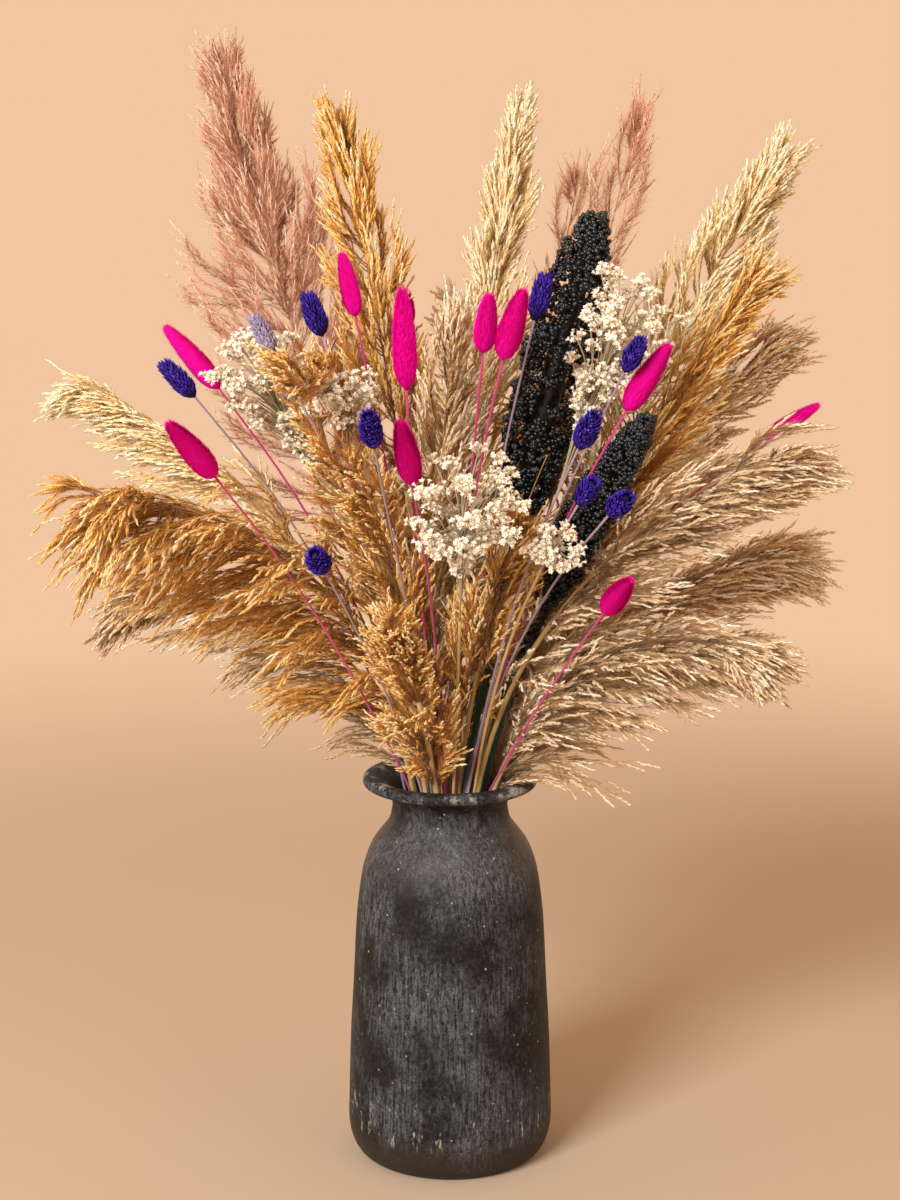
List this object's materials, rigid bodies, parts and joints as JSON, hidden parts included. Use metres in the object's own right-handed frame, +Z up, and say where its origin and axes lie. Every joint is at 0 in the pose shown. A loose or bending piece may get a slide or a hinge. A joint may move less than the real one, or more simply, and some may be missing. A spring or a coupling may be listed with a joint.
{
  "type": "bunch of dried pampas grass in a vase",
  "caption": "Bunch of dried pampas plumes with dyed bunny tails, canary grass, statice and black sorghum, standing in a round charcoal ceramic vase with a narrow neck and a flared lip.",
  "frame": {"origin": "Centre of the flat disc under the vase, on the surface that the vase stands on.", "axes": "+Z is up along the vase's own axis, +X is to the right as the bunch is seen from its front, and the front faces -Y."},
  "size_m": [0.6312, 0.5744, 0.9304],
  "materials": {
    "vase_ceramic": "matte charcoal slip with a dusty grey wash and white specks",
    "rose_plume": "dyed dusty rose, dull and feathery",
    "gold_plume": "dried golden brown, dull and feathery",
    "cream_plume": "dried cream straw, slightly silky",
    "brown_plume": "dried straw brown, dull and feathery",
    "beige_plume": "dried grey beige, slightly silky",
    "pink_fur": "dyed hot pink, short soft fur",
    "violet_bracts": "dyed deep violet, papery bracts",
    "lilac_bracts": "faded grey lilac, papery bracts",
    "white_florets": "papery cream white florets",
    "straw_stem": "dry straw stems",
    "magenta_stem": "thin dyed magenta stems",
    "mauve_stem": "thin dull mauve stems",
    "teal_stem": "dyed dark green stems",
    "black_seed": "dyed black seeds with a soft sheen"
  },
  "bodies": {
    "root": {"vase": "vase_ceramic", "plume_rose_tall": "rose_plume", "plume_gold_left_back": "gold_plume", "plume_cream_centre": "cream_plume", "plume_rose_right_back": "rose_plume", "plume_rose_mid_back": "rose_plume", "plume_cream_right": "cream_plume", "plume_gold_right": "gold_plume", "plume_brown_right": "brown_plume", "plume_fan_upper": "beige_plume", "plume_fan_middle": "brown_plume", "plume_fan_low": "beige_plume", "plume_gold_front_right": "gold_plume", "plume_gold_diagonal": "gold_plume", "plume_big_left": "gold_plume", "plume_upper_left": "cream_plume", "plume_low_left": "beige_plume", "plume_brown_middle": "brown_plume", "plume_gold_front_left": "gold_plume", "plume_rose_left_back": "rose_plume", "plume_brown_back": "brown_plume", "plume_gold_back_right": "gold_plume", "tail_upper_left": "pink_fur", "tail_long": "pink_fur", "tail_far_left": "pink_fur", "tail_left_drooping": "pink_fur", "tail_middle": "pink_fur", "tail_pair_short": "pink_fur", "tail_pair_tall": "pink_fur", "tail_right": "pink_fur", "tail_far_right": "pink_fur", "tail_low_right": "pink_fur", "tail_behind": "pink_fur", "canary_upper_left": "violet_bracts", "canary_far_left": "violet_bracts", "canary_pale_left": "lilac_bracts", "canary_centre": "violet_bracts", "canary_centre_right": "violet_bracts", "canary_right": "violet_bracts", "canary_by_sorghum": "violet_bracts", "canary_low_right_a": "violet_bracts", "canary_low_right_b": "violet_bracts", "canary_low_left": "violet_bracts", "statice_left": "white_florets", "statice_inner_left": "white_florets", "statice_centre": "white_florets", "statice_right": "white_florets", "statice_low_right": "white_florets", "sorghum_large": "black_seed", "sorghum_small": "black_seed"}
  },
  "joints": []
}
